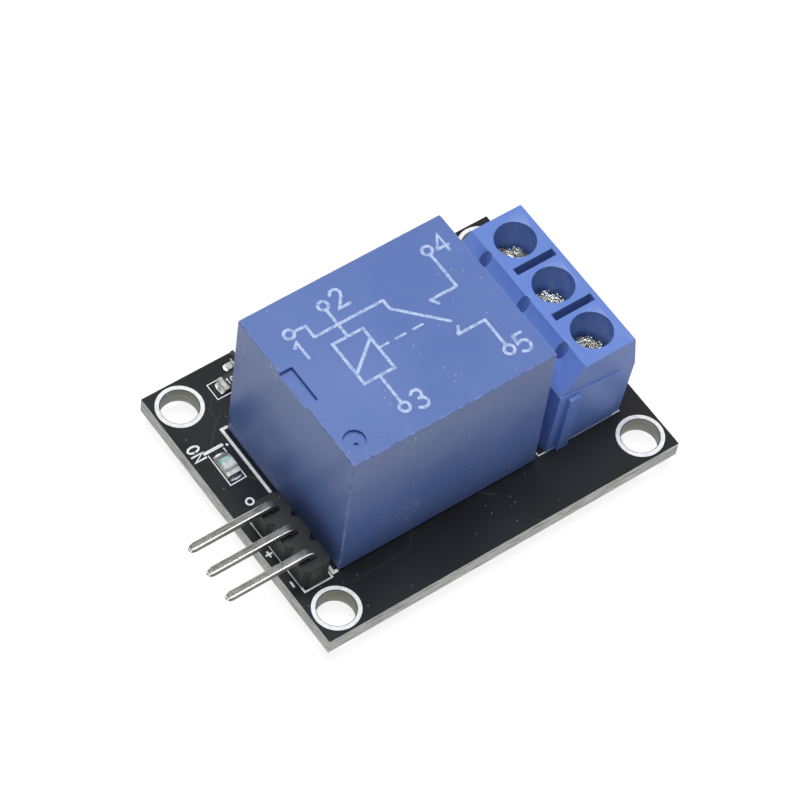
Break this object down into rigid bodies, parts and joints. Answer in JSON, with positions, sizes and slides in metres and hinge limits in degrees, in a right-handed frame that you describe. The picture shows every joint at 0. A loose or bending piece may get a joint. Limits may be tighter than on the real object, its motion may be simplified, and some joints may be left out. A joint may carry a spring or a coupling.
{
  "type": "relay module board",
  "caption": "Small circuit board that carries a sealed power relay, a screw terminal block, a right-angle pin header and chip driver parts.",
  "frame": {"origin": "centre of the four mounting holes, on the underside of the board", "axes": "+Z out of the board's component side, +X from the pin header to the screw terminals"},
  "size_m": [0.0397, 0.0262, 0.0183],
  "materials": {
    "board": "black solder mask, satin, over pale glass-fibre edges",
    "solder": "bright tin solder",
    "black_plastic": "moulded, satin",
    "tinned_pin": "tinned brass pin, soft shine",
    "relay_blue": "moulded, satin",
    "relay_base": "moulded, satin",
    "bobbin": "moulded, natural nylon",
    "copper": "enamelled copper wire",
    "iron": "plated soft iron",
    "bronze": "rolled spring bronze",
    "contact_silver": "silver alloy",
    "tinned_terminal": "tinned brass strip",
    "terminal_blue": "moulded, satin",
    "clamp_metal": "tinned brass strip",
    "screw_steel": "zinc plated",
    "lamp_base": "white glass-fibre base, satin",
    "lamp_lens": "clear resin, pale green-white",
    "chip_black": "black moulding or glaze, satin"
  },
  "bodies": {
    "module": {"circuit_board": "board", "pin_solder": "solder", "chip_solder": "solder", "header_strip": "black_plastic", "header_pin_1": "tinned_pin", "header_pin_2": "tinned_pin", "header_pin_3": "tinned_pin", "relay_case": "relay_blue", "relay_base": "relay_base", "relay_bobbin": "bobbin", "relay_winding": "copper", "relay_core": "iron", "relay_yoke": "iron", "relay_rest_terminal": "tinned_terminal", "relay_rest_contact": "contact_silver", "relay_work_terminal": "tinned_terminal", "relay_work_contact": "contact_silver", "relay_common_terminal": "tinned_terminal", "relay_coil_pin_1": "tinned_terminal", "relay_coil_pin_2": "tinned_terminal", "terminal_housing": "terminal_blue", "terminal_frame_1": "clamp_metal", "terminal_frame_2": "clamp_metal", "terminal_frame_3": "clamp_metal", "led_base": "lamp_base", "led_lens": "lamp_lens", "led_ends": "solder", "base_resistor": "chip_black", "base_resistor_ends": "solder", "led_resistor": "chip_black", "led_resistor_ends": "solder", "transistor_body": "chip_black", "transistor_leads": "solder", "diode_body": "chip_black", "diode_leads": "solder"},
    "relay_moving_set": {"relay_armature": "iron", "relay_contact_spring": "bronze", "relay_moving_contact": "contact_silver"},
    "wire_guard_1": {"wire_guard_1": "clamp_metal"},
    "terminal_screw_1": {"terminal_screw_1": "screw_steel"},
    "wire_guard_2": {"wire_guard_2": "clamp_metal"},
    "terminal_screw_2": {"terminal_screw_2": "screw_steel"},
    "wire_guard_3": {"wire_guard_3": "clamp_metal"},
    "terminal_screw_3": {"terminal_screw_3": "screw_steel"}
  },
  "joints": [
    {"name": "armature_swing", "type": "hinge", "parent": "module", "child": "relay_moving_set", "pos_m": [-0.0103, -0.00055, 0.01296], "axis": [0, 1, 0], "range_deg": [0, 3.3], "stiffness_Nm_per_rad": 0.004, "springref_deg": -14.32, "deforming": ["relay_contact_spring"]},
    {"name": "guard_1_lift", "type": "slide", "parent": "module", "child": "wire_guard_1", "axis": [0, 0, 1], "range_m": [0, 0.0021]},
    {"name": "screw_1_turn", "type": "hinge", "parent": "wire_guard_1", "child": "terminal_screw_1", "pos_m": [0.0124, -0.00545, 0.0088], "axis": [0, 0, 1], "range_deg": [0, 1681]},
    {"name": "guard_2_lift", "type": "slide", "parent": "module", "child": "wire_guard_2", "axis": [0, 0, 1], "range_m": [0, 0.0021]},
    {"name": "screw_2_turn", "type": "hinge", "parent": "wire_guard_2", "child": "terminal_screw_2", "pos_m": [0.0124, -0.00037, 0.0088], "axis": [0, 0, 1], "range_deg": [0, 1681]},
    {"name": "guard_3_lift", "type": "slide", "parent": "module", "child": "wire_guard_3", "axis": [0, 0, 1], "range_m": [0, 0.0021]},
    {"name": "screw_3_turn", "type": "hinge", "parent": "wire_guard_3", "child": "terminal_screw_3", "pos_m": [0.0124, 0.00471, 0.0088], "axis": [0, 0, 1], "range_deg": [0, 1681]}
  ],
  "couplings": [
    {"joint": "screw_1_turn", "follows": "guard_1_lift", "rad_per_m": 13963},
    {"joint": "screw_2_turn", "follows": "guard_2_lift", "rad_per_m": 13963},
    {"joint": "screw_3_turn", "follows": "guard_3_lift", "rad_per_m": 13963}
  ]
}
